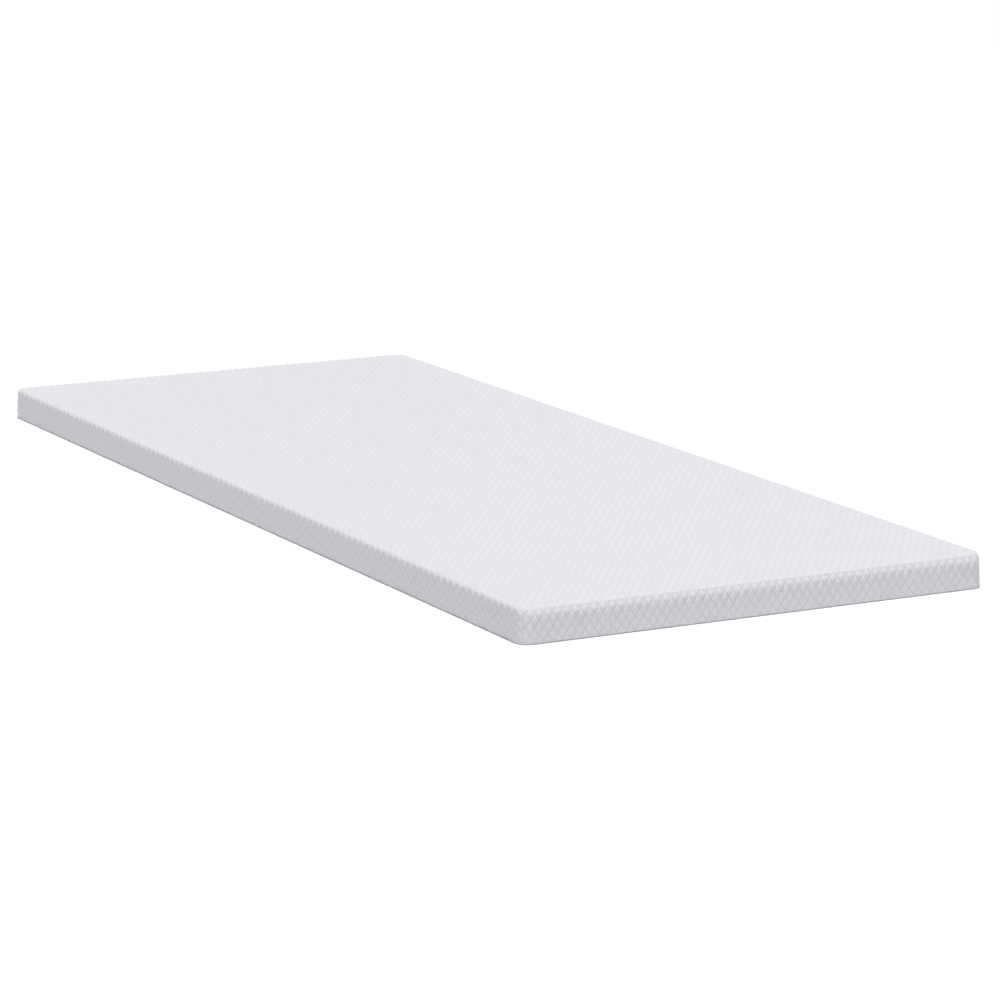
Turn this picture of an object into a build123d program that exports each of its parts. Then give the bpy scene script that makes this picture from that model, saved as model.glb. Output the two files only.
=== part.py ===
from build123d import *
import os

# Thin memory foam mattress: two foam layers in a liner sock, inside a quilted zip-off cover.
# Millimetres. The origin is the centre of the underside, +Z is up and +Y runs along the length.
# The front end is at -Y. The zip runs along the +X side.

# Whole mattress
WIDTH = 800.0
LENGTH = 2000.0
HEIGHT = 55.0
CORNER_R = 28.0
TOP_EDGE_R = 17.0
BOTTOM_EDGE_R = 6.0

# Cover layers, measured as depths below its outer surface
FACE_DEPTH = 1.15
WADDING_START = 1.2
WADDING_DEPTH = 2.95
SHELL_DEPTH = 3.0

# Foam core
FOAM_DEPTH = 3.5
SUPPORT_FOAM_H = 18.0
MEMORY_FOAM_H = 30.0
ZIP_SIDE_CUTBACK = 5.4
FOAM_BOTTOM_R = 2.5
LINER_GAP = 0.05
LINER_T = 0.4
LINER_MOUTH = 12.0

# Sewn seams
END_SEAM_Y = 995.0
BOTTOM_SEAM_Z = 3.5
SEAM_W = 0.6

# Zip, laid in a channel along the +X side
ZIP_Z = 13.0
CHANNEL_H = 10.0
CHANNEL_L = 1910.0
HEM_W = 2.4
TAPE_X = 393.6
TAPE_T = 0.6
TAPE_W = 7.5
TAPE_L = 1900.0
TAPE_GAP = 0.8
COIL_T = 1.8
COIL_W = 2.3
COIL_L = 1878.0
COIL_GAP = 0.6
STOP_T = 2.0
STOP_L = 2.0
PART_GAP = 0.05

# Slider and pull tab, with the zip closed
SLIDER_Y = -930.0
SLIDER_L = 12.0
SLIDER_W = 8.4
BACK_PLATE_X = 392.3
BACK_PLATE_T = 0.9
FRONT_PLATE_X = 396.35
FRONT_PLATE_T = 1.05
FLANGE_DROP = 1.5
FLANGE_T = 0.8
WEDGE_T = 0.4
WEDGE_L = 3.0
WEDGE_INSET = 1.0
BRIDGE_L = 8.0
BRIDGE_W = 2.2
BRIDGE_T = 0.8
BRIDGE_GAP = 1.4
BRIDGE_LEG = 1.2
TAB_T = 0.9
TAB_W = 5.4
TAB_L = 22.0
TAB_EYE_W = 3.0
TAB_EYE_L = 6.0
TAB_HOLE_R = 1.3

# Care label, hanging from the rear end seam
LABEL_X = 300.0
LABEL_W = 36.0
LABEL_LOW_Z = 12.0
LABEL_T = 0.4

BIG = 3000.0
MIN_X = (Align.MIN, Align.CENTER, Align.CENTER)
MAX_X = (Align.MAX, Align.CENTER, Align.CENTER)
ON_TOP = (Align.CENTER, Align.CENTER, Align.MIN)
BELOW = (Align.CENTER, Align.CENTER, Align.MAX)

os.makedirs("parts", exist_ok=True)


def rounded_slab(x_min, x_max, half_length, z_min, z_max, corner_r, top_r, bottom_r):
    """Slab with rounded plan corners and rounded top and bottom edges."""
    plan = Plane(origin=((x_min + x_max) / 2, 0, z_min))
    with BuildPart() as slab:
        with BuildSketch(plan):
            RectangleRounded(x_max - x_min, 2 * half_length, corner_r)
        extrude(amount=z_max - z_min)
        fillet(slab.faces().sort_by(Axis.Z)[-1].edges(), top_r)
        fillet(slab.faces().sort_by(Axis.Z)[0].edges(), bottom_r)
    return slab.part


def cover_body(depth):
    """The mattress's outer shape, shrunk by a depth on every side."""
    half_x = WIDTH / 2 - depth
    half_y = LENGTH / 2 - depth
    return rounded_slab(
        -half_x,
        half_x,
        half_y,
        depth,
        HEIGHT - depth,
        CORNER_R - depth,
        TOP_EDGE_R - depth,
        BOTTOM_EDGE_R - depth,
    )


def cover_layer(outer_depth, inner_depth):
    """One closed layer of the cover between two depths."""
    with BuildPart() as layer:
        add(cover_body(outer_depth))
        add(cover_body(inner_depth), mode=Mode.SUBTRACT)
    return layer.part


def support_slab(gap):
    """The lower foam slab, grown by a gap; it is cut back on the zip side."""
    half_x = WIDTH / 2 - FOAM_DEPTH
    return rounded_slab(
        -half_x - gap,
        half_x - ZIP_SIDE_CUTBACK + gap,
        LENGTH / 2 - FOAM_DEPTH + gap,
        FOAM_DEPTH - gap,
        FOAM_DEPTH + SUPPORT_FOAM_H,
        CORNER_R - FOAM_DEPTH + gap,
        PART_GAP,
        FOAM_BOTTOM_R + gap,
    )


def memory_slab(gap):
    """The upper foam slab, grown by a gap."""
    half_x = WIDTH / 2 - FOAM_DEPTH
    z_join = FOAM_DEPTH + SUPPORT_FOAM_H
    return rounded_slab(
        -half_x - gap,
        half_x + gap,
        LENGTH / 2 - FOAM_DEPTH + gap,
        z_join - gap,
        z_join + MEMORY_FOAM_H + gap,
        CORNER_R - FOAM_DEPTH + gap,
        TOP_EDGE_R - FOAM_DEPTH + gap,
        PART_GAP,
    )


def foam_envelope(gap):
    """Both foam slabs as one shape, grown by a gap on every side."""
    with BuildPart() as envelope:
        add(support_slab(gap))
        add(memory_slab(gap))
    return envelope.part


def finish(builder, name):
    """Label a finished piece and write its STEP file."""
    builder.part.label = name
    export_step(builder.part, f"parts/{name}.step")


# ---------------------------------------------------------------- foam core

with BuildPart() as support_foam:
    add(support_slab(0))
finish(support_foam, "support_foam_layer")

with BuildPart() as memory_foam:
    add(memory_slab(0))
finish(memory_foam, "memory_foam_layer")

with BuildPart() as inner_liner:
    add(foam_envelope(LINER_GAP + LINER_T))
    add(foam_envelope(LINER_GAP), mode=Mode.SUBTRACT)
    with Locations((0, LENGTH / 2 - LINER_MOUTH, HEIGHT / 2)):
        Box(BIG, BIG, BIG, align=(Align.CENTER, Align.MIN, Align.CENTER), mode=Mode.SUBTRACT)
finish(inner_liner, "inner_liner")

# ---------------------------------------------------------------- quilted cover

ZIP_SIDE_X = WIDTH / 2 - CORNER_R
PANEL_Y = END_SEAM_Y - SEAM_W / 2
SEAM_TOP_Z = BOTTOM_SEAM_Z + SEAM_W / 2
SEAM_LOW_Z = BOTTOM_SEAM_Z - SEAM_W / 2
CHANNEL_X = WIDTH / 2 - SHELL_DEPTH - PART_GAP
HEM_X = TAPE_X + TAPE_T + PART_GAP
HEM_DEEP = WIDTH / 2 - FACE_DEPTH - HEM_X


def cut_channel(half_height):
    """Open the zip channel, from the inside of the cover outwards."""
    with Locations((CHANNEL_X, 0, ZIP_Z)):
        Box(BIG, CHANNEL_L, 2 * half_height, align=MIN_X, mode=Mode.SUBTRACT)


def main_panel(outer_depth, inner_depth, half_opening):
    """Top and both long sides in one piece, down to the bottom seam and to the zip."""
    with BuildPart() as panel:
        add(cover_layer(outer_depth, inner_depth))
        Box(BIG, 2 * PANEL_Y, BIG, mode=Mode.INTERSECT)
        with Locations((0, 0, SEAM_TOP_Z)):
            Box(BIG, BIG, BIG, align=BELOW, mode=Mode.SUBTRACT)
        with Locations((ZIP_SIDE_X, 0, ZIP_Z + PART_GAP)):
            Box(2 * CORNER_R, BIG, 2 * ZIP_Z, align=(Align.MIN, Align.CENTER, Align.MAX),
                mode=Mode.SUBTRACT)
        cut_channel(half_opening)
    return panel.part


def bottom_panel(outer_depth, inner_depth, half_opening):
    """Underside, turned up to the bottom seam, and to the zip on the zip side."""
    with BuildPart() as panel:
        add(cover_layer(outer_depth, inner_depth))
        with Locations((0, 0, ZIP_Z - PART_GAP)):
            Box(BIG, BIG, BIG, align=BELOW, mode=Mode.INTERSECT)
        with Locations((ZIP_SIDE_X, 0, SEAM_LOW_Z)):
            Box(BIG, BIG, BIG, align=(Align.MAX, Align.CENTER, Align.MIN), mode=Mode.SUBTRACT)
        for side in (-1, 1):
            with Locations((0, side * (PANEL_Y + BIG / 2), SEAM_LOW_Z)):
                Box(BIG, BIG, BIG, align=ON_TOP, mode=Mode.SUBTRACT)
        cut_channel(half_opening)
    return panel.part


def end_panel(outer_depth, inner_depth, side):
    """One end face of the cover, between its top, corner and bottom seams."""
    with BuildPart() as panel:
        add(cover_layer(outer_depth, inner_depth))
        with Locations((0, side * (END_SEAM_Y + SEAM_W / 2 + BIG / 2), SEAM_TOP_Z)):
            Box(BIG, BIG, BIG, align=ON_TOP, mode=Mode.INTERSECT)
    return panel.part


# The face cloth is turned in along the channel; the wadding stops short of that hem.
HALF_CHANNEL = CHANNEL_H / 2
HALF_WADDING = HALF_CHANNEL + HEM_W + PART_GAP

with BuildPart() as main_face:
    add(main_panel(0, FACE_DEPTH, HALF_CHANNEL))
    with Locations((HEM_X, 0, ZIP_Z + HALF_CHANNEL)):
        Box(HEM_DEEP + PART_GAP, CHANNEL_L, HEM_W, align=(Align.MIN, Align.CENTER, Align.MIN))
finish(main_face, "main_panel_face")

with BuildPart() as main_wadding:
    add(main_panel(WADDING_START, WADDING_DEPTH, HALF_WADDING))
finish(main_wadding, "main_panel_wadding")

with BuildPart() as bottom_face:
    add(bottom_panel(0, FACE_DEPTH, HALF_CHANNEL))
    with Locations((HEM_X, 0, ZIP_Z - HALF_CHANNEL)):
        Box(HEM_DEEP + PART_GAP, CHANNEL_L, HEM_W, align=(Align.MIN, Align.CENTER, Align.MAX))
finish(bottom_face, "bottom_panel_face")

with BuildPart() as bottom_wadding:
    add(bottom_panel(WADDING_START, WADDING_DEPTH, HALF_WADDING))
finish(bottom_wadding, "bottom_panel_wadding")

for end, side in (("front", -1), ("rear", 1)):
    with BuildPart() as end_face:
        add(end_panel(0, FACE_DEPTH, side))
    finish(end_face, f"{end}_panel_face")

    with BuildPart() as end_wadding:
        add(end_panel(WADDING_START, WADDING_DEPTH, side))
    finish(end_wadding, f"{end}_panel_wadding")

# ---------------------------------------------------------------- sewn seams

for end, side in (("front", -1), ("rear", 1)):
    with BuildPart() as end_seam:
        add(cover_body(0))
        with Locations((0, side * END_SEAM_Y, SEAM_TOP_Z)):
            Box(BIG, SEAM_W, BIG, align=ON_TOP, mode=Mode.INTERSECT)
        add(cover_body(SHELL_DEPTH), mode=Mode.SUBTRACT)
    finish(end_seam, f"{end}_end_seam")

with BuildPart() as bottom_seam:
    add(cover_layer(0, SHELL_DEPTH))
    with Locations((0, 0, BOTTOM_SEAM_Z)):
        Box(BIG, BIG, SEAM_W, mode=Mode.INTERSECT)
    with Locations((ZIP_SIDE_X, 0, BOTTOM_SEAM_Z)):
        Box(BIG, 2 * PANEL_Y, 2 * SEAM_W, align=MIN_X, mode=Mode.SUBTRACT)
finish(bottom_seam, "bottom_seam")

# ---------------------------------------------------------------- zip

for name, side in (("upper", 1), ("lower", -1)):
    tape_z = ZIP_Z + side * (TAPE_GAP + TAPE_W) / 2
    with BuildPart() as tape:
        with Locations((TAPE_X, 0, tape_z)):
            Box(TAPE_T, TAPE_L, TAPE_W, align=MIN_X)
    finish(tape, f"zip_tape_{name}")

    coil_z = ZIP_Z + side * (COIL_GAP + COIL_W) / 2
    with BuildPart() as coil:
        with Locations((TAPE_X + TAPE_T + PART_GAP, 0, coil_z)):
            Box(COIL_T, COIL_L, COIL_W, align=MIN_X)
        fillet(coil.faces().sort_by(Axis.X)[-1].edges().filter_by(Axis.Y), COIL_T / 3)
    finish(coil, f"zip_coil_{name}")

STOP_Y = COIL_L / 2 + PART_GAP + STOP_L / 2

with BuildPart() as top_stops:
    for side in (-1, 1):
        with Locations((TAPE_X + TAPE_T + PART_GAP, -STOP_Y, ZIP_Z + side * (COIL_GAP + COIL_W) / 2)):
            Box(STOP_T, STOP_L, COIL_W, align=MIN_X)
finish(top_stops, "zip_top_stops")

with BuildPart() as bottom_stop:
    with Locations((TAPE_X + TAPE_T + PART_GAP, STOP_Y, ZIP_Z)):
        Box(STOP_T, STOP_L, 2 * COIL_W + COIL_GAP, align=MIN_X)
    fillet(bottom_stop.edges().filter_by(Axis.X), STOP_L / 4)
finish(bottom_stop, "zip_bottom_stop")

FRONT_TOP_X = FRONT_PLATE_X + FRONT_PLATE_T
BRIDGE_X = FRONT_TOP_X + BRIDGE_GAP
PIVOT_X = FRONT_TOP_X + BRIDGE_GAP / 2
PLATE_FILLET = SLIDER_W / 5

with BuildPart() as slider:
    with Locations((BACK_PLATE_X, SLIDER_Y, ZIP_Z)):
        Box(BACK_PLATE_T, SLIDER_L, SLIDER_W, align=MIN_X)
    with Locations((FRONT_PLATE_X, SLIDER_Y, ZIP_Z)):
        Box(FRONT_PLATE_T, SLIDER_L, SLIDER_W, align=MIN_X)
    fillet(slider.edges().filter_by(Axis.X), PLATE_FILLET)
    for side in (-1, 1):
        with Locations((FRONT_PLATE_X, SLIDER_Y, ZIP_Z + side * (SLIDER_W - FLANGE_T) / 2)):
            Box(FLANGE_DROP, SLIDER_L - 2 * PLATE_FILLET, FLANGE_T, align=MAX_X)
    wedge_y = SLIDER_Y - (SLIDER_L - WEDGE_L) / 2 + WEDGE_INSET
    with Locations((BACK_PLATE_X + BACK_PLATE_T / 2, wedge_y, ZIP_Z)):
        Box(FRONT_PLATE_X - BACK_PLATE_X, WEDGE_L, WEDGE_T, align=MIN_X)
    for side in (-1, 1):
        with Locations((FRONT_TOP_X - PART_GAP, SLIDER_Y + side * (BRIDGE_L - BRIDGE_LEG) / 2, ZIP_Z)):
            Box(BRIDGE_GAP + 2 * PART_GAP, BRIDGE_LEG, BRIDGE_W, align=MIN_X)
    with Locations((BRIDGE_X, SLIDER_Y, ZIP_Z)):
        Box(BRIDGE_T, BRIDGE_L, BRIDGE_W, align=MIN_X)
    fillet(slider.faces().sort_by(Axis.X)[-1].edges(), BRIDGE_T / 3)
finish(slider, "zip_slider")

with BuildPart() as pull_tab:
    with BuildSketch(Plane.YZ.offset(PIVOT_X - TAB_T / 2)):
        with Locations((SLIDER_Y, ZIP_Z)):
            with Locations((-TAB_T / 2, 0)):
                Rectangle(TAB_L, TAB_W, align=(Align.MIN, Align.CENTER))
            with Locations((TAB_T / 2, 0)):
                Rectangle(TAB_EYE_L, TAB_EYE_W, align=(Align.MIN, Align.CENTER), mode=Mode.SUBTRACT)
            with Locations((TAB_L - TAB_T / 2 - TAB_W / 2, 0)):
                Circle(TAB_HOLE_R, mode=Mode.SUBTRACT)
    extrude(amount=TAB_T)
    crossbar_edges = pull_tab.faces().sort_by(Axis.Y)[0].edges().filter_by(Axis.Z)
    fillet(crossbar_edges, TAB_T / 2 - 0.01)
    tip_edges = pull_tab.faces().sort_by(Axis.Y)[-1].edges().filter_by(Axis.X)
    fillet(tip_edges, TAB_W / 2 - 0.1)
finish(pull_tab, "zip_pull_tab")

# ---------------------------------------------------------------- care label

with BuildPart() as care_label:
    add(cover_layer(-PART_GAP - LABEL_T, -PART_GAP))
    with Locations((LABEL_X, END_SEAM_Y + SEAM_W / 2, LABEL_LOW_Z)):
        Box(LABEL_W, BIG, BIG, align=(Align.CENTER, Align.MIN, Align.MIN), mode=Mode.INTERSECT)
finish(care_label, "care_label")
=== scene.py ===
import math

import bpy
import numpy as np
from mathutils import Matrix, Vector


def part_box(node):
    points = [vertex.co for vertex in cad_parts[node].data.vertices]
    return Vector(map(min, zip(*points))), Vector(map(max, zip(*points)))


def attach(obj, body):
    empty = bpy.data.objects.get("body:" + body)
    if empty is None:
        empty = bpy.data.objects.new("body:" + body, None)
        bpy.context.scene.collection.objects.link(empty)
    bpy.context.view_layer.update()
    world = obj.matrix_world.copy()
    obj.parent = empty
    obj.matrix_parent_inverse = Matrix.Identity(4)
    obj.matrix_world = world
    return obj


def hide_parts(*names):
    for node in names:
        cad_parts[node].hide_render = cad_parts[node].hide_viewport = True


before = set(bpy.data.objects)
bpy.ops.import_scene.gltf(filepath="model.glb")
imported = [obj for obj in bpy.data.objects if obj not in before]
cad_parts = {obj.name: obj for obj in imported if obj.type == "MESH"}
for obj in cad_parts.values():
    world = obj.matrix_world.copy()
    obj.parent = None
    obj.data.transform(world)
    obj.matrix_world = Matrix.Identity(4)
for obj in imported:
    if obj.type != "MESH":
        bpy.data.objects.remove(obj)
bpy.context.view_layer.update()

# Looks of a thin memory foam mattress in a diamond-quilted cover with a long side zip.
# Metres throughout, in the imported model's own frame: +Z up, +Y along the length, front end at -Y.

MM = 0.001
TINY = 1e-9
FULL_TURN = 2 * math.pi
HALF_TURN = math.pi
QUARTER_TURN = math.pi / 2

# ------------------------------------------------------------------ sizes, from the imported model

HALF_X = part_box("main_panel_face")[1].x
TOP_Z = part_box("main_panel_face")[1].z
HALF_Y = -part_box("front_panel_face")[0].y


def middle(node, axis):
    """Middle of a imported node's box along one axis, 0 to 2."""
    low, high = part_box(node)
    return (low[axis] + high[axis]) / 2


END_SEAM_Y = middle("rear_end_seam", 1)
BOTTOM_SEAM_Z = middle("bottom_seam", 2)
ZIP_Z = (middle("zip_coil_upper", 2) + middle("zip_coil_lower", 2)) / 2
TAPE_FACE_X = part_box("zip_tape_upper")[1].x

# Soft outer shape: the plan corners, and how far each edge's rounding reaches in and down or up
PLAN_R = 22 * MM
END_EDGE = (14 * MM, 18 * MM)
SIDE_EDGE = (8 * MM, 7 * MM)
LOWER_IN = 2.5 * MM
LOWER_UP = 2.5 * MM
CORNER_PULL = 1.2 * MM
CORNER_ZONE = 2 * PLAN_R
CORNER_TURN = math.radians(44.4)
STRAIGHT_X = HALF_X - PLAN_R
STRAIGHT_Y = HALF_Y - PLAN_R
END_REACH = END_SEAM_Y - STRAIGHT_Y
PROFILE_ANGLES = np.linspace(0, QUARTER_TURN, 40)

# Quilting: a diamond's size on each axis, the grid steps in one, and the relief. At the panels'
# edges the last FINE_STEPS are cut in FINE_CUTS each. The shifts, in steps, place the end faces'
# diamonds.
DIAMOND_X = 15.06 * MM
DIAMOND_Y = 20.4 * MM
DIAMOND_Z = 21.3 * MM
STEPS = 6
END_STEPS = 12
LOWER_STEPS = 4
FINE_STEPS = 2
FINE_CUTS = 3
END_SHIFT_X = END_STEPS // 2
END_SHIFT_Z = END_STEPS // 6
PUFF_RISE = 0.1 * MM
GROOVE_DROP = 1.35 * MM
LOWER_DROP = GROOVE_DROP / 2
PUFF_POWER = 0.5
# Width of the painted shade line along each groove, as a share of a diamond
GROOVE_SHARE = 0.1
FADE = 1.6 * MM
SEAM_ROLL_W = 1.3 * MM
SEAM_ROLL_D = 0.8 * MM

# Layers, by their depth below the smooth outer shape, with the share of a seam's roll that they
# follow. Their grids keep every fourth row and column.
FACE_INNER = 1.75 * MM
WADDING_OUTER = 1.8 * MM
WADDING_INNER = 2.9 * MM
ROLL_INSIDE = 0.6
COARSE = 4
BETWEEN_GROOVES = 0.5

# Sewn seams: a bead, and stitches made of rings at shares of their half length
BEAD_STEP = 3 * MM
BEAD_HALF_W = 0.6 * MM
BEAD_HALF_H = 0.35 * MM
BEAD_SIDES = 8
STITCH_PITCH = 3.2 * MM
STITCH_L = 2.5 * MM
STITCH_RINGS = (-1, -0.55, 0.55, 1)
STITCH_WIDTHS = (0.35, 1, 1, 0.35)
STITCH_SIDES = 5
THREAD_R = 0.22 * MM
JOINT_POINTS = 12
CORNER_POINTS = 24

# Zip coils
COIL_PITCH = 1.3 * MM
COIL_POINTS = 8
WIRE_R = 0.28 * MM
WIRE_SIDES = 4

# Label: its grid, and how far it stands off the cloth
LABEL_ROWS = 25
LABEL_COLUMNS = 13
LABEL_T = 0.35 * MM
LABEL_OFF = 0.9 * MM
LABEL_FLARE = 1.6 * MM
LABEL_WAVE = 0.4 * MM
LABEL_WAVE_START = 1
LABEL_SEWN = 0.15

# Zip channel: its height is full up to CHANNEL_END and nothing from CHANNEL_SHUT on. From there
# one joint runs down to the bottom seam. Both edges of the channel have a hem.
CHANNEL_HALF = 5 * MM
CHANNEL_END = 946 * MM
CHANNEL_SHUT = 956 * MM
HEM_R = 1.1 * MM
TAPE_GAP = 0.15 * MM
HEM_IN = HALF_X - TAPE_FACE_X - TAPE_GAP

# ------------------------------------------------------------------ camera

AZIMUTH = math.radians(-27.70)
ELEVATION = math.radians(11.90)
DISTANCE = 7.102
MOVED_RIGHT = 79.8 * MM
MOVED_UP = -10.1 * MM
LENS = 151.5
FAR_CLIP = 200


def add_object(name, data):
    """Object in the scene, at the origin."""
    made = bpy.data.objects.new(name, data)
    bpy.context.scene.collection.objects.link(made)
    return made


def make_camera():
    """Long lens, low over the front left corner."""
    back = Vector((
        math.sin(AZIMUTH) * math.cos(ELEVATION),
        -math.cos(AZIMUTH) * math.cos(ELEVATION),
        math.sin(ELEVATION),
    ))
    right = Vector((math.cos(AZIMUTH), math.sin(AZIMUTH), 0))
    up = back.cross(right)
    data = bpy.data.cameras.new("camera")
    data.lens = LENS
    data.clip_end = FAR_CLIP
    camera = add_object("camera", data)
    camera.matrix_world = Matrix((right, up, back)).transposed().to_4x4()
    camera.location = back * DISTANCE + right * MOVED_RIGHT + up * MOVED_UP
    bpy.context.scene.camera = camera


make_camera()

# ------------------------------------------------------------------ materials


class Number:
    """A number in a shader; arithmetic on it adds Math nodes."""

    def __init__(self, finish, socket):
        self.finish = finish
        self.socket = socket

    def __add__(self, other):
        return self.finish.maths("ADD", self, other)

    def __sub__(self, other):
        return self.finish.maths("SUBTRACT", self, other)

    def __mul__(self, other):
        return self.finish.maths("MULTIPLY", self, other)

    def __rsub__(self, other):
        return self.finish.maths("SUBTRACT", other, self)


class Finish:
    """One material: a Principled shader with its constants, and the nodes that feed it."""

    def __init__(self, name, constants):
        self.material = bpy.data.materials.new(name)
        self.material.use_nodes = True
        self.tree = self.material.node_tree
        self.shader = self.tree.nodes["Principled BSDF"]
        self.feed(self.shader, constants)

    def feed(self, node, inputs):
        """Set or link a node's inputs."""
        for key, value in inputs.items():
            if isinstance(value, Number):
                self.tree.links.new(value.socket, node.inputs[key])
            else:
                node.inputs[key].default_value = value

    def node(self, kind, settings, inputs, output=0):
        """Add one node: its settings first, then its inputs; returns one output."""
        made = self.tree.nodes.new(kind)
        for key, value in settings.items():
            setattr(made, key, value)
        self.feed(made, inputs)
        return Number(self, made.outputs[output])

    def maths(self, operation, first, second=0, clamped=False):
        """Math node on one or two numbers; clamped keeps its result between 0 and 1."""
        settings = {"operation": operation, "use_clamp": clamped}
        return self.node("ShaderNodeMath", settings, {0: first, 1: second})

    def place(self):
        """Object coordinates."""
        return self.node("ShaderNodeTexCoord", {}, {}, "Object")

    def number(self, key):
        """The piece's own attribute of that name."""
        return self.node("ShaderNodeAttribute", {"attribute_name": key}, {}, "Fac")

    def near_whole(self, value, width):
        """1 where a value is whole, down to 0 at a width from there."""
        from_middle = self.maths("ABSOLUTE", self.maths("FRACT", value) - 0.5)
        share = 1 - (0.5 - from_middle) * (1 / width)
        return self.maths("ADD", share, clamped=True)

    def mix(self, amount, first, second):
        """Colour between two colours."""
        return self.node(
            "ShaderNodeMix", {"data_type": "RGBA"}, {"Factor": amount, 6: first, 7: second}, 2
        )

    def bump(self, height, strength, distance):
        """Lean the shading by a height."""
        leaning = self.node(
            "ShaderNodeBump", {}, {"Height": height, "Strength": strength, "Distance": distance}
        )
        self.feed(self.shader, {"Normal": leaning})


def shade(red, green, blue):
    """Linear colour with full alpha."""
    return (red, green, blue, 1)


def knit_cloth(name, puff_colour, groove_shade_colour):
    """Matt double-knit cloth: fine wales, a fibre grain, and a thin line of painted shade in each
    groove.

    The grooves lie where groove_a or groove_b, counted in diamonds, is a whole number.
    """
    cloth = Finish(name, {"Roughness": 0.92, "Sheen Weight": 0.1, "Sheen Roughness": 0.6})
    # The groove lines are painted shade: a darker base colour where the grooves sink.
    lines = [cloth.near_whole(cloth.number(key), GROOVE_SHARE) for key in ("groove_a", "groove_b")]
    line = cloth.maths("MAXIMUM", *lines)
    cloth.feed(cloth.shader, {"Base Color": cloth.mix(line, puff_colour, groove_shade_colour)})
    place = cloth.place()
    fibre = cloth.node("ShaderNodeTexNoise", {}, {"Vector": place, "Scale": 900, "Detail": 2})
    wales = cloth.node(
        "ShaderNodeTexWave", {"bands_direction": "X"}, {"Vector": place, "Scale": 260}, "Fac"
    )
    relief = fibre * 0.25 + wales * 0.15 - line * 0.7
    cloth.bump(relief, strength=0.35, distance=0.5 * MM)
    return cloth.material


def plain_cloth(name, colour, roughness, weave_scale):
    """Woven tape or ribbon: a fine checked weave."""
    cloth = Finish(name, {"Base Color": colour, "Roughness": roughness})
    place = cloth.place()
    weave = cloth.node("ShaderNodeTexChecker", {}, {"Vector": place, "Scale": weave_scale}, "Fac")
    cloth.bump(weave, strength=0.3, distance=0.1 * MM)
    return cloth.material


def open_foam(name, colour):
    """Matt open-cell foam."""
    foam = Finish(name, {"Base Color": colour, "Roughness": 0.95})
    cells = foam.node(
        "ShaderNodeTexVoronoi", {}, {"Vector": foam.place(), "Scale": 700}, "Distance"
    )
    foam.bump(cells, strength=0.5, distance=0.4 * MM)
    return foam.material


def hard(name, colour, roughness, coat):
    """Smooth hard surface, such as lacquered metal or nylon."""
    finish = Finish(name, {"Base Color": colour, "Roughness": roughness, "Coat Weight": coat})
    return finish.material


# The knit's second colour is painted shade for its grooves.
WHITE_KNIT = knit_cloth("quilted_knit", shade(0.750, 0.758, 0.794), shade(0.69, 0.698, 0.737))
WADDING = plain_cloth("wadding_fibre", shade(0.85, 0.85, 0.85), 1.0, 300)
LINER_KNIT = plain_cloth("liner_stockinette", shade(0.78, 0.78, 0.75), 0.95, 900)
MEMORY_FOAM = open_foam("memory_foam", shade(0.85, 0.81, 0.68))
SUPPORT_FOAM = open_foam("support_foam", shade(0.67, 0.74, 0.83))
THREAD = plain_cloth("seam_thread", shade(0.72, 0.73, 0.76), 0.8, 2500)
TAPE_CLOTH = plain_cloth("zip_tape_cloth", shade(0.72, 0.73, 0.76), 0.9, 1600)
NYLON = hard("zip_nylon", shade(0.80, 0.80, 0.83), 0.38, 0.0)
LACQUER = hard("zip_lacquer", shade(0.76, 0.76, 0.78), 0.3, 0.4)
SATIN = plain_cloth("label_satin", shade(0.86, 0.86, 0.85), 0.45, 2200)

# ------------------------------------------------------------------ meshes


def make_piece(name, points, faces, material, slot, values=None):
    """Object at the origin from points (n, 3) and a list of face arrays of one size each.

    values maps the name of an attribute to one number for each point.
    """
    mesh = bpy.data.meshes.new(name)
    corners = np.concatenate([f.reshape(-1) for f in faces]).astype(np.int32)
    sizes = np.concatenate([np.full(len(f), f.shape[1]) for f in faces]).astype(np.int32)
    starts = np.concatenate([[0], np.cumsum(sizes)[:-1]]).astype(np.int32)
    mesh.vertices.add(len(points))
    mesh.vertices.foreach_set("co", np.asarray(points, np.float32).reshape(-1))
    mesh.loops.add(len(corners))
    mesh.loops.foreach_set("vertex_index", corners)
    mesh.polygons.add(len(sizes))
    mesh.polygons.foreach_set("loop_start", starts)
    mesh.update(calc_edges=True)
    mesh.validate()
    mesh.shade_smooth()
    for key, numbers in (values or {}).items():
        layer = mesh.attributes.new(key, "FLOAT", "POINT")
        layer.data.foreach_set("value", np.asarray(numbers, np.float32))
    mesh.materials.append(material)
    piece = add_object(name, mesh)
    return piece


def grid_faces(numbers):
    """Quads of a grid of point numbers (rows, columns), facing the way normals_of points."""
    a, b = numbers[:-1, :-1], numbers[:-1, 1:]
    d, c = numbers[1:, :-1], numbers[1:, 1:]
    return np.stack([a, b, c, d], -1).reshape(-1, 4)


def split_along_grooves(quads, height):
    """Each quad becomes two triangles, cut along its lower diagonal."""
    a, b, c, d = quads.T
    low_ac = height[a] + height[c] <= height[b] + height[d]
    first = np.where(low_ac, [a, b, c], [a, b, d])
    second = np.where(low_ac, [a, c, d], [b, c, d])
    return np.concatenate([first.T, second.T])


def rim_loop(numbers):
    """Point numbers round a grid's edge, in the direction in which its faces run."""
    return np.concatenate(
        [numbers[0, :-1], numbers[:-1, -1], numbers[-1, :0:-1], numbers[:0:-1, 0]]
    )


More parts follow.
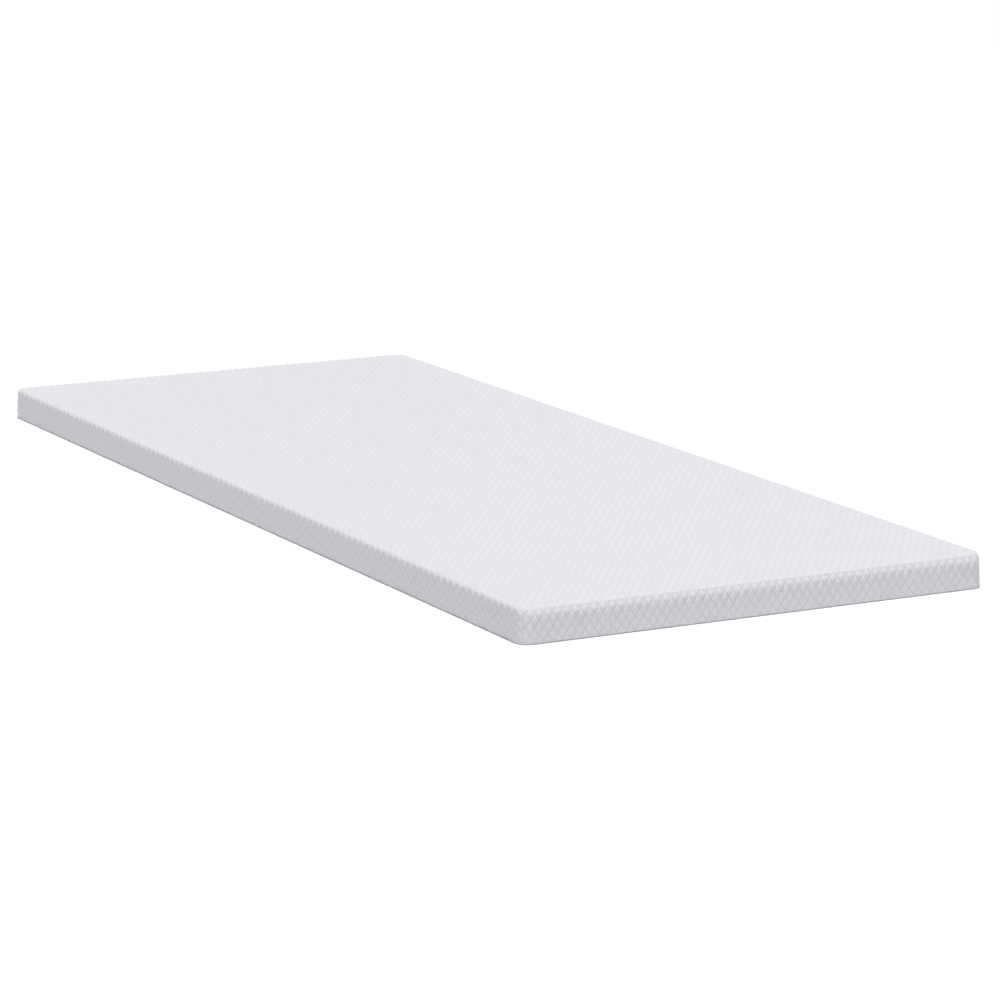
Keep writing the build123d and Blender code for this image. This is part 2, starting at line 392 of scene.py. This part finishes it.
def shell_piece(name, outer, inner, height, values, material, slot):
    """Closed shell: a fine outer grid, a coarse inner one, and a rim between.

    outer and inner are (rows, columns, 3) and of one size, and every fourth point of inner is kept.
    height sets how the outer quads are split. The inner points count as between grooves, so they
    show none of the painted groove shade.
    """
    rows, columns = outer.shape[:2]
    fine = np.arange(rows * columns).reshape(rows, columns)
    kept = inner[::COARSE, ::COARSE]
    coarse = rows * columns + np.arange(kept.shape[0] * kept.shape[1]).reshape(kept.shape[:2])
    edge, inner_edge = rim_loop(fine), rim_loop(coarse)
    step = COARSE * np.arange(len(inner_edge))
    rim = [edge[(step + k) % len(edge)] for k in range(COARSE, -1, -1)]
    rim = np.stack([*rim, inner_edge, np.roll(inner_edge, -1)], -1)
    outer_faces = split_along_grooves(grid_faces(fine), height.reshape(-1))
    points = np.concatenate([outer.reshape(-1, 3), kept.reshape(-1, 3)])
    plain = np.full(coarse.size, BETWEEN_GROOVES)
    values = {key: np.concatenate([v.reshape(-1), plain]) for key, v in values.items()}
    faces = [outer_faces, grid_faces(coarse)[:, ::-1], rim]
    return make_piece(name, points, faces, material, slot, values)


def layer_piece(name, upper, lower, material, slot):
    """Closed layer between two grids of one size."""
    rows, columns = upper.shape[:2]
    numbers = np.arange(rows * columns).reshape(rows, columns)
    edge, below = rim_loop(numbers), rows * columns
    rim = np.stack([np.roll(edge, -1), edge, edge + below, np.roll(edge, -1) + below], -1)
    faces = [grid_faces(numbers), grid_faces(numbers + below)[:, ::-1], rim]
    points = np.concatenate([upper.reshape(-1, 3), lower.reshape(-1, 3)])
    return make_piece(name, points, faces, material, slot)


def normals_of(grid):
    """Unit normals of a (rows, columns, 3) grid: columns' direction cross rows' direction."""
    across = np.gradient(grid, axis=1)
    along = np.gradient(grid, axis=0)
    n = np.cross(across, along)
    return n / np.linalg.norm(n, axis=-1, keepdims=True)


def smooth(t):
    """0 to 1, level at both ends."""
    t = np.clip(t, 0, 1)
    return t * t * (3 - 2 * t)


# ------------------------------------------------------------------ outer shape


def profile_of(reach, height):
    """A profile's reaches, heights, and lengths along it from its first point."""
    steps = np.hypot(np.diff(reach), np.diff(height))
    return reach, height, np.concatenate([[0], np.cumsum(steps)])


def upper_profile(edge_in, edge_down):
    """Flat top, a quarter ellipse over the edge, upright side, a quarter ellipse in at the foot."""
    edge = PLAN_R - edge_in * (1 - np.sin(PROFILE_ANGLES))
    foot = PLAN_R - LOWER_IN * (1 - np.cos(PROFILE_ANGLES))
    edge_height = TOP_Z - edge_down * (1 - np.cos(PROFILE_ANGLES))
    height = np.concatenate([[TOP_Z], edge_height, LOWER_UP * (1 - np.sin(PROFILE_ANGLES))])
    return profile_of(np.concatenate([[0], edge, foot]), height)


def lower_profile():
    """Flat underside, a quarter ellipse out and up, then upright to the middle of the side."""
    foot = PLAN_R - LOWER_IN * (1 - np.sin(PROFILE_ANGLES))
    height = np.concatenate([[0], LOWER_UP * (1 - np.cos(PROFILE_ANGLES)), [TOP_Z / 2]])
    return profile_of(np.concatenate([[0], foot, [PLAN_R]]), height)


def length_down_to(height, profile):
    """Length down an upper profile to a height."""
    return np.interp(-np.asarray(height), -profile[1], profile[2])


UPPER_END = upper_profile(*END_EDGE)
UPPER_SIDE = upper_profile(*SIDE_EDGE)
LOWER = lower_profile()
EDGE_POINTS = len(PROFILE_ANGLES) + 1
END_LENGTH = float(np.interp(END_REACH, UPPER_END[0][:EDGE_POINTS], UPPER_END[2][:EDGE_POINTS]))
FOOT_LENGTH = float(length_down_to(BOTTOM_SEAM_Z, UPPER_END))
SIDE_STRETCH = float(length_down_to(BOTTOM_SEAM_Z, UPPER_SIDE)) / FOOT_LENGTH


def on_profiles(profiles, turn, length):
    """Reach and height at a length: the end's profile at no turn, the side's at a quarter turn."""
    end, side, stretch = profiles
    share = smooth(turn / QUARTER_TURN)
    return [
        np.interp(length, end[2], end[k]) * (1 - share)
        + np.interp(length * stretch, side[2], side[k]) * share
        for k in (0, 1)
    ]


UPPER = (UPPER_END, UPPER_SIDE, SIDE_STRETCH)
UNDER = (LOWER, LOWER, 1.0)


def cover_points(profiles, middle_x, middle_y, turn, length, edge_length):
    """Points of the cover at a length along a profile, and then along its turned-in edge.

    The profile starts at (middle_x, middle_y) and heads out at a turn from the lengthways axis
    towards the crossways one. Past edge_length the cloth turns inwards round a small radius.
    """
    past = np.clip(length - edge_length, 0, None)
    angle = np.minimum(past / HEM_R, QUARTER_TURN)
    inward = HEM_R * (1 - np.cos(angle)) + np.clip(past - HEM_R * QUARTER_TURN, 0, None)
    direction = -1 if profiles is UPPER else 1
    reach, height = on_profiles(profiles, turn, np.minimum(length, edge_length))
    reach = reach - inward
    height = height + direction * HEM_R * np.sin(angle)
    x = middle_x + np.sign(middle_x) * reach * np.sin(turn)
    y = middle_y + np.sign(middle_y) * reach * np.cos(turn)
    return np.stack(np.broadcast_arrays(x, y, height), -1)


def soften_corners(points):
    """Plan corners stand out a little at the foot and draw in at the top.

    The move is CORNER_PULL out on both axes at the foot, falls evenly to as much inwards at the
    top, and dies out over CORNER_ZONE from the corner.
    """
    x, y, z = np.moveaxis(points, -1, 0)
    near_x = smooth((np.abs(x) - (HALF_X - CORNER_ZONE)) / CORNER_ZONE)
    near_y = smooth((np.abs(y) - (HALF_Y - CORNER_ZONE)) / CORNER_ZONE)
    amount = CORNER_PULL * near_x * near_y * (1 - 2 * z / TOP_Z)
    moved = np.stack([np.sign(x) * amount, np.sign(y) * amount, np.zeros_like(z)], -1)
    return points + moved


# ------------------------------------------------------------------ quilting


def steps_out(count):
    """0 to count in whole steps, the last ones cut finer, so that seams roll smoothly."""
    whole = count - FINE_STEPS
    cut = np.arange(FINE_STEPS * FINE_CUTS + 1) / FINE_CUTS
    return np.concatenate([np.arange(whole), whole + cut])


def both_ways(half):
    """Numbers to both sides of the middle, negative before it."""
    return np.concatenate([-half[:0:-1], half])


def both_sides(half):
    """The same numbers to both sides of the middle, positive on both."""
    return np.concatenate([half[:0:-1], half])


def even_count(length, pitch):
    """The even number of steps that comes nearest to a pitch."""
    return 2 * round(length / pitch / 2)


def share_out(wanted, kept, total):
    """Lengths up to kept stay; those past it share out what is left up to total."""
    share = np.clip((wanted - kept) / (wanted[-1] - kept), 0, None)
    return np.where(wanted < kept, wanted, kept + share * (total - kept))


def across_rows(wanted, kept, totals):
    """Distances across each row: as wanted on the left, shared out up to its total on the right."""
    right = np.stack([share_out(wanted, kept, total) for total in totals])
    left = np.broadcast_to(-wanted[:0:-1], right[:, 1:].shape)
    return np.concatenate([left, right], 1)


def beyond(distance, straight):
    """How far a distance to either side goes past the straight part."""
    return np.clip(np.abs(distance) - straight, 0, None)


def quilt(row_steps, column_steps, steps):
    """Puffs between two families of crossing grooves: 0 in the grooves, 1 on the puffs.

    Each family is the size of a sine of the two steps' sum or difference, and the puffs are
    their product to a power. Also returns both families, counted in diamonds.
    """
    first = (row_steps[:, None] + column_steps) / steps
    second = (row_steps[:, None] - column_steps) / steps
    puff = np.abs(np.sin(HALF_TURN * first) * np.sin(HALF_TURN * second)) ** PUFF_POWER
    return puff, {"groove_a": first, "groove_b": second}


def edge_distances(grid):
    """How far each point of a grid is from its first and last row and first and last column."""
    found = []
    for axis in (0, 1):
        steps = np.linalg.norm(np.diff(grid, axis=axis), axis=-1)
        start = np.zeros_like(np.take(steps, [0], axis))
        along = np.concatenate([start, np.cumsum(steps, axis)], axis)
        found += [along, np.take(along, [-1], axis) - along]
    return found


def seam_roll(distance):
    """How far a panel rolls inwards beside a seam: a quarter circle's drop over a narrow strip."""
    t = np.clip(1 - distance / SEAM_ROLL_W, 0, 1)
    return SEAM_ROLL_D * (1 - np.sqrt(1 - t * t))


def add_panel(name, grid, pattern, distance, rise, depth):
    """A quilted panel's face cloth and wadding, from its smooth grid and its quilt pattern.

    rise and depth are the puffs' height above the smooth shape and the grooves' depth below it;
    distance is each point's distance to the nearest seam, where the puffs die out.
    """
    puff, grooves = pattern
    normals = normals_of(grid)
    roll = seam_roll(distance)
    lift = ((rise + depth) * puff - depth) * smooth(distance / FADE) - roll
    outer = soften_corners(grid + normals * lift[..., None])

    def sunk(by):
        return soften_corners(grid - normals * (by + ROLL_INSIDE * roll)[..., None])

    face = shell_piece(
        name + "_face_cloth", outer, sunk(FACE_INNER), lift, grooves, WHITE_KNIT, "quilted_knit"
    )
    upper, lower = (sunk(by)[::COARSE, ::COARSE] for by in (WADDING_OUTER, WADDING_INNER))
    wadding = layer_piece(name + "_fibre_layer", upper, lower, WADDING, "wadding")
    for piece, node in ((face, name + "_face"), (wadding, name + "_wadding")):
        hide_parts(node)
        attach(piece, "mattress")


def joint_height(rows):
    """Height of the joint on the zip side: the zip's, then down to the bottom seam's."""
    share = (np.abs(rows) - CHANNEL_SHUT) / (STRAIGHT_Y - CHANNEL_SHUT)
    return ZIP_Z + (BOTTOM_SEAM_Z - ZIP_Z) * smooth(share)


def zip_side(rows, side):
    """For rows of a panel on the zip side: its edge's height, its hem's length, how shut it is.

    side is 1 for the panel above the zip and -1 for the one below it.
    """
    shut = smooth((np.abs(rows) - CHANNEL_END) / (CHANNEL_SHUT - CHANNEL_END))
    height = joint_height(rows) + side * (CHANNEL_HALF + HEM_R) * (1 - shut)
    return height, (HEM_IN + HEM_R * (QUARTER_TURN - 1)) * (1 - shut), shut


def panel_distance(grid, shut):
    """Distance to the nearest seam, and how much of the puffs there is beside the zip's hem.

    The zip channel is on the last columns. Where it is open, it isn't a seam.
    """
    first_row, last_row, first_column, last_column = edge_distances(grid)
    open_edge = last_column + (1 - shut)[:, None] * HALF_X
    puffed = smooth((last_column - HEM_IN * (1 - shut)[:, None]) / FADE)
    return np.minimum.reduce([first_row, last_row, first_column, open_edge]), puffed


def make_main_panel():
    """Top and both long sides, one piece of quilt that runs over the soft long edges.

    Up to the plan corners its rows run straight across. From there they lean towards the end
    seam: along the end, round the corner at the seam's reach, then down at the corner's turn.
    """
    straight_count = round(STRAIGHT_Y / (DIAMOND_Y / STEPS))
    zone_count = round(END_REACH / (DIAMOND_Y / STEPS))
    half_rows = steps_out(straight_count + zone_count)
    row_steps = both_ways(half_rows)
    past = np.clip((np.abs(row_steps) - straight_count) / zone_count, 0, 1)[:, None]
    rows = np.clip(row_steps / straight_count, -1, 1) * STRAIGHT_Y

    full = STRAIGHT_X + FOOT_LENGTH
    half_columns = steps_out(even_count(full, DIAMOND_X / STEPS))
    column_steps = both_ways(half_columns)
    wanted = half_columns * full / half_columns[-1]
    height, hem, shut = zip_side(rows, 1)
    edge = STRAIGHT_X + length_down_to(height, UPPER_SIDE) / SIDE_STRETCH
    kept = HALF_X - CORNER_ZONE
    across = across_rows(wanted, kept, edge + hem)

    turned = END_REACH * CORNER_TURN
    border = share_out(wanted, kept, STRAIGHT_X + turned + FOOT_LENGTH - END_LENGTH)
    turn = np.clip((border - STRAIGHT_X) / END_REACH, 0, CORNER_TURN)
    out = END_LENGTH + np.clip(border - STRAIGHT_X - turned, 0, None)
    border_x = np.minimum(border, STRAIGHT_X) + out * np.sin(turn)
    border_y = STRAIGHT_Y + out * np.cos(turn)

    u = across + past * (both_ways(border_x) - across)
    v = rows[:, None] + np.sign(row_steps)[:, None] * past * (both_sides(border_y) - STRAIGHT_Y)
    start = beyond(across, STRAIGHT_X)
    length = start + past * (both_sides(out) - start)
    edge_length = np.where((u > 0) & (past == 0), (edge - STRAIGHT_X)[:, None], FOOT_LENGTH)
    grid = cover_points(
        UPPER,
        np.clip(u, -STRAIGHT_X, STRAIGHT_X),
        np.clip(v, -STRAIGHT_Y, STRAIGHT_Y),
        np.arctan2(beyond(u, STRAIGHT_X), beyond(v, STRAIGHT_Y)),
        length,
        edge_length,
    )
    distance, puffed = panel_distance(grid, shut)
    puff, grooves = quilt(row_steps, column_steps, STEPS)
    add_panel("main_panel", grid, (puff * puffed, grooves), distance, PUFF_RISE, GROOVE_DROP)
    return grid


def make_bottom_panel():
    """Underside, turned up to the seam on three sides and to the zip on the fourth.

    At a plan corner the square of rows and columns is laid on a quarter disc: the larger of the
    two distances past the straight part is the length, and their ratio sets the turn. The grid's
    columns run the other way, so that it faces down.
    """
    foot = float(np.interp(BOTTOM_SEAM_Z, LOWER[1], LOWER[2]))
    pitch = DIAMOND_Y / LOWER_STEPS
    half_rows = steps_out(even_count(STRAIGHT_Y + foot, pitch))
    row_steps = both_ways(half_rows)
    v = row_steps * (STRAIGHT_Y + foot) / half_rows[-1]
    half_columns = steps_out(even_count(STRAIGHT_X + foot, DIAMOND_X / LOWER_STEPS))
    column_steps = both_ways(half_columns)
    wanted = half_columns * (STRAIGHT_X + foot) / half_columns[-1]
    height, hem, shut = zip_side(v, -1)
    edge = STRAIGHT_X + np.interp(height, LOWER[1], LOWER[2])
    u = across_rows(wanted, STRAIGHT_X, edge + hem)
    v = np.broadcast_to(v[:, None], u.shape)
    past_x, past_y = beyond(u, STRAIGHT_X), beyond(v, STRAIGHT_Y)
    larger, smaller = np.maximum(past_x, past_y), np.minimum(past_x, past_y)
    lean = QUARTER_TURN / 2 * smaller / np.maximum(larger, TINY)
    grid = cover_points(
        UNDER,
        np.clip(u, -STRAIGHT_X, STRAIGHT_X),
        np.clip(v, -STRAIGHT_Y, STRAIGHT_Y),
        np.where(past_x > past_y, QUARTER_TURN - lean, lean),
        larger,
        np.where(u > 0, (edge - STRAIGHT_X)[:, None], foot),
    )[:, ::-1]
    distance, puffed = panel_distance(grid[:, ::-1], shut)
    puff, grooves = quilt(row_steps, column_steps, LOWER_STEPS)
    pattern = (puff * puffed)[:, ::-1], {key: value[:, ::-1] for key, value in grooves.items()}
    add_panel("bottom_panel", grid, pattern, distance[:, ::-1], 0.0, LOWER_DROP)


def make_end_panel(name, side):
    """One end face: columns round the outline between the corner seams, rows up to the end seam.

    side is -1 at the front and 1 at the rear, which is the front turned half round.
    """
    half_length = STRAIGHT_X + PLAN_R * CORNER_TURN
    half_columns = steps_out(even_count(half_length, DIAMOND_X / END_STEPS))
    column_steps = both_ways(half_columns)
    along = column_steps * half_length / half_columns[-1]
    rise = FOOT_LENGTH - END_LENGTH
    half_rows = steps_out(even_count(rise, DIAMOND_Z / END_STEPS) // 2)
    row_steps = both_ways(half_rows)
    length = FOOT_LENGTH - (row_steps / half_rows[-1] + 1) / 2 * rise
    turn = beyond(along, STRAIGHT_X) / PLAN_R
    middle_x = np.clip(along, -STRAIGHT_X, STRAIGHT_X)
    grid = cover_points(UPPER, middle_x, -STRAIGHT_Y, turn, length[:, None], FOOT_LENGTH)
    if side > 0:
        grid = grid * [-1, -1, 1]
    distance = np.minimum.reduce(edge_distances(grid))
    below_seam = row_steps - half_rows[-1] - END_SHIFT_Z
    pattern = quilt(below_seam, column_steps + END_SHIFT_X, END_STEPS)
    add_panel(name, grid, pattern, distance, PUFF_RISE, GROOVE_DROP)


main_grid = make_main_panel()
make_bottom_panel()
make_end_panel("front_panel", -1)
make_end_panel("rear_panel", 1)

# ------------------------------------------------------------------ sewn seams, zip coils, label


def even_path(points, normals, spacing):
    """Points and unit normals at even spacing along a path."""
    steps = np.linalg.norm(np.diff(points, axis=0), axis=-1)
    along = np.concatenate([[0], np.cumsum(steps)])
    wanted = np.linspace(0, along[-1], round(along[-1] / spacing) + 1)
    both = np.concatenate([points, normals], 1)
    found = np.stack([np.interp(wanted, along, column) for column in both.T], -1)
    return found[:, :3], found[:, 3:] / np.linalg.norm(found[:, 3:], axis=-1, keepdims=True)


def directions(points, normals):
    """Unit tangents along a path, and unit sideways directions: normal cross tangent."""
    tangents = np.gradient(points, axis=0)
    tangents /= np.linalg.norm(tangents, axis=-1, keepdims=True)
    sides = np.cross(normals, tangents)
    return tangents, sides / np.linalg.norm(sides, axis=-1, keepdims=True)


def tube(points, normals, half_width, half_height, count):
    """Closed tube of elliptical section along a path: its points and face arrays."""
    _, sides = directions(points, normals)
    angle = np.arange(count) / count * FULL_TURN
    offsets = sides[:, None] * (half_width * np.cos(angle))[:, None]
    offsets = offsets + normals[:, None] * (half_height * np.sin(angle))[:, None]
    numbers = np.arange(len(points) * count).reshape(len(points), count)
    wrapped = np.concatenate([numbers, numbers[:, :1]], 1)
    faces = [grid_faces(wrapped), numbers[:1, ::-1], numbers[-1:]]
    return (points[:, None] + offsets).reshape(-1, 3), faces


def stitches(points, normals, length, half_width):
    """Short thread ovals, one at each point of a path: their points and face arrays.

    Each is a row of rings, wide in the middle and narrow at its ends.
    """
    tangents, sides = directions(points, normals)
    rings, widths = np.array(STITCH_RINGS) * length / 2, np.array(STITCH_WIDTHS)
    angle = np.arange(STITCH_SIDES) / STITCH_SIDES * FULL_TURN
    across = (widths[:, None] * np.cos(angle) * half_width)[None, :, :, None]
    up = (widths[:, None] * np.sin(angle) * half_width)[None, :, :, None]
    ring = points[:, None, None] + tangents[:, None, None] * rings[None, :, None, None]
    made = ring + sides[:, None, None] * across + normals[:, None, None] * up
    numbers = np.arange(len(rings) * STITCH_SIDES).reshape(len(rings), STITCH_SIDES)
    wrapped = np.concatenate([numbers, numbers[:, :1]], 1)
    shift = numbers.size * np.arange(len(points))[:, None, None]
    kinds = (grid_faces(wrapped), numbers[:1, ::-1], numbers[-1:])
    return made.reshape(-1, 3), [(kind + shift).reshape(-1, kind.shape[1]) for kind in kinds]


def joined(*parts):
    """Several (points, faces) as one."""
    starts = np.cumsum([0] + [len(points) for points, _ in parts])
    faces = [face + start for (_, kinds), start in zip(parts, starts) for face in kinds]
    return np.concatenate([points for points, _ in parts]), faces


def add_seam(name, path, normals, node):
    """A sewn seam in the groove between two panels: a flat bead of cloth and its stitches."""
    points, normals = even_path(soften_corners(path), normals, BEAD_STEP)
    bead = tube(points - normals * SEAM_ROLL_D, normals, BEAD_HALF_W, BEAD_HALF_H, BEAD_SIDES)
    points, normals = even_path(points, normals, STITCH_PITCH)
    thread_points = points - normals * (SEAM_ROLL_D - BEAD_HALF_H)
    thread = stitches(thread_points, normals, STITCH_L, THREAD_R)
    piece = make_piece(name, *joined(bead, thread), THREAD, "seam_thread")
    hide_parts(node)
    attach(piece, "mattress")


def chained(parts):
    """Arrays end to end, where the last row of each is the first row of the next."""
    return np.concatenate([part[:-1] for part in parts[:-1]] + parts[-1:])


def bottom_seam_path():
    """Round the foot from one end of the zip to the other, with the closed joints beside it."""
    joint_y = np.linspace(CHANNEL_SHUT, STRAIGHT_Y, JOINT_POINTS)
    joint = np.stack([np.full(JOINT_POINTS, HALF_X), joint_y, joint_height(joint_y)], -1)
    out = np.broadcast_to([1.0, 0.0, 0.0], joint.shape)
    points, normals = [joint], [out]
    to_side = np.linspace(0, QUARTER_TURN, CORNER_POINTS)
    for side_x, side_y in ((1, 1), (-1, 1), (-1, -1), (1, -1)):
        turn = to_side[::-1] if side_x == side_y else to_side
        middle_x, middle_y = side_x * STRAIGHT_X, side_y * STRAIGHT_Y
        points.append(cover_points(UPPER, middle_x, middle_y, turn, FOOT_LENGTH, FOOT_LENGTH))
        flat = np.zeros_like(turn)
        normals.append(np.stack([side_x * np.sin(turn), side_y * np.cos(turn), flat], -1))
    points.append(joint[::-1] * [1, -1, 1])
    normals.append(out)
    return chained(points), chained(normals)


def add_coil(node):
    """Nylon zip coil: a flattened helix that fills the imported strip's box."""
    low, high = (np.array(corner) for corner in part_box(node))
    middle, half = (low + high) / 2, (high - low) / 2
    turns = (half[1] * 2 - 2 * WIRE_R) / COIL_PITCH
    angle = np.linspace(0, turns, round(turns * COIL_POINTS) + 1) * FULL_TURN
    y = np.linspace(low[1] + WIRE_R, high[1] - WIRE_R, len(angle))
    out = np.stack([np.cos(angle), np.zeros_like(angle), np.sin(angle)], -1)
    points = np.stack([np.full_like(y, middle[0]), y, np.full_like(y, middle[2])], -1)
    points = points + out * [half[0] - WIRE_R, 0, half[2] - WIRE_R]
    wire = tube(points, out, WIRE_R, WIRE_R, WIRE_SIDES)
    piece = make_piece(node + "_loops", *wire, NYLON, "zip_coil")
    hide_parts(node)
    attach(piece, "mattress")


def add_label():
    """Blank satin label, sewn into the rear end seam and hanging down the end face.

    Its top is sunk into the seam. Below that it stands off the cloth a little more towards its
    free edge, with a slight wave across it.
    """
    low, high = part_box("care_label")
    x = np.linspace(low.x, high.x, LABEL_COLUMNS)
    last = float(length_down_to(low.z, UPPER_END))
    share = np.linspace(0, 1, LABEL_ROWS)[:, None]
    length = END_LENGTH + share * (last - END_LENGTH)
    smooth_face = cover_points(UPPER, x, STRAIGHT_Y, np.zeros_like(x), length, FOOT_LENGTH)
    wave = np.sin((x - low.x) / (high.x - low.x) * FULL_TURN + LABEL_WAVE_START)
    sewn = smooth(1 - share / LABEL_SEWN)
    off = LABEL_OFF - (LABEL_OFF + SEAM_ROLL_D) * sewn + LABEL_FLARE * share**2
    off = off + LABEL_WAVE * wave * share
    normals = normals_of(smooth_face)
    smooth_face[..., 0] = x
    layers = [smooth_face + normals * (off + extra)[..., None] for extra in (LABEL_T, 0)]
    piece = layer_piece("care_label_ribbon", *layers, SATIN, "label_satin")
    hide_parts("care_label")
    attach(piece, "mattress")


main_normals = normals_of(main_grid)
add_seam("front_end_seam_stitched", main_grid[0], main_normals[0], "front_end_seam")
add_seam("rear_end_seam_stitched", main_grid[-1], main_normals[-1], "rear_end_seam")
add_seam("bottom_seam_stitched", *bottom_seam_path(), "bottom_seam")
add_coil("zip_coil_upper")
add_coil("zip_coil_lower")
add_label()

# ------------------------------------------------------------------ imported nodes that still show

CAD_FINISHES = {
    "memory_foam_layer": MEMORY_FOAM,
    "support_foam_layer": SUPPORT_FOAM,
    "inner_liner": LINER_KNIT,
    "zip_tape_upper": TAPE_CLOTH,
    "zip_tape_lower": TAPE_CLOTH,
    "zip_top_stops": LACQUER,
    "zip_bottom_stop": LACQUER,
    "zip_slider": LACQUER,
    "zip_pull_tab": LACQUER,
}
for node, finish in CAD_FINISHES.items():
    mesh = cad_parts[node].data
    mesh.materials.clear()
    mesh.materials.append(finish)

# ------------------------------------------------------------------ floor and light

FLOOR_HALF = 60


def make_floor():
    """Plain pale floor."""
    paint = Finish("floor_paint", {"Base Color": shade(0.95, 0.95, 0.95), "Roughness": 0.9})
    corners = [(x * FLOOR_HALF, y * FLOOR_HALF, 0) for x, y in ((-1, -1), (1, -1), (1, 1), (-1, 1))]
    mesh = bpy.data.meshes.new("floor")
    mesh.from_pydata(corners, [], [(0, 1, 2, 3)])
    mesh.materials.append(paint.material)
    floor = add_object("floor", mesh)


def make_sun(name, strength, spread, towards):
    """Wide soft light from one direction, equally strong over the whole floor."""
    data = bpy.data.lights.new(name, "SUN")
    data.energy = strength
    data.angle = spread
    light = add_object(name, data)
    light.rotation_euler = Vector(towards).to_track_quat("Z", "Y").to_euler()


def make_surroundings(strength):
    """Even white room."""
    world = bpy.data.worlds.new("studio")
    world.use_nodes = True
    background = world.node_tree.nodes["Background"]
    background.inputs["Color"].default_value = (1, 1, 1, 1)
    background.inputs["Strength"].default_value = strength
    bpy.context.scene.world = world


make_floor()
make_surroundings(strength=0.12)
make_sun("overhead", strength=2.88, spread=math.radians(20), towards=(-0.02, -0.06, 1))
make_sun("near_corner", strength=0.47, spread=math.radians(30), towards=(-0.6, -0.7, 0.4))
bpy.context.scene.view_settings.view_transform = "Standard"
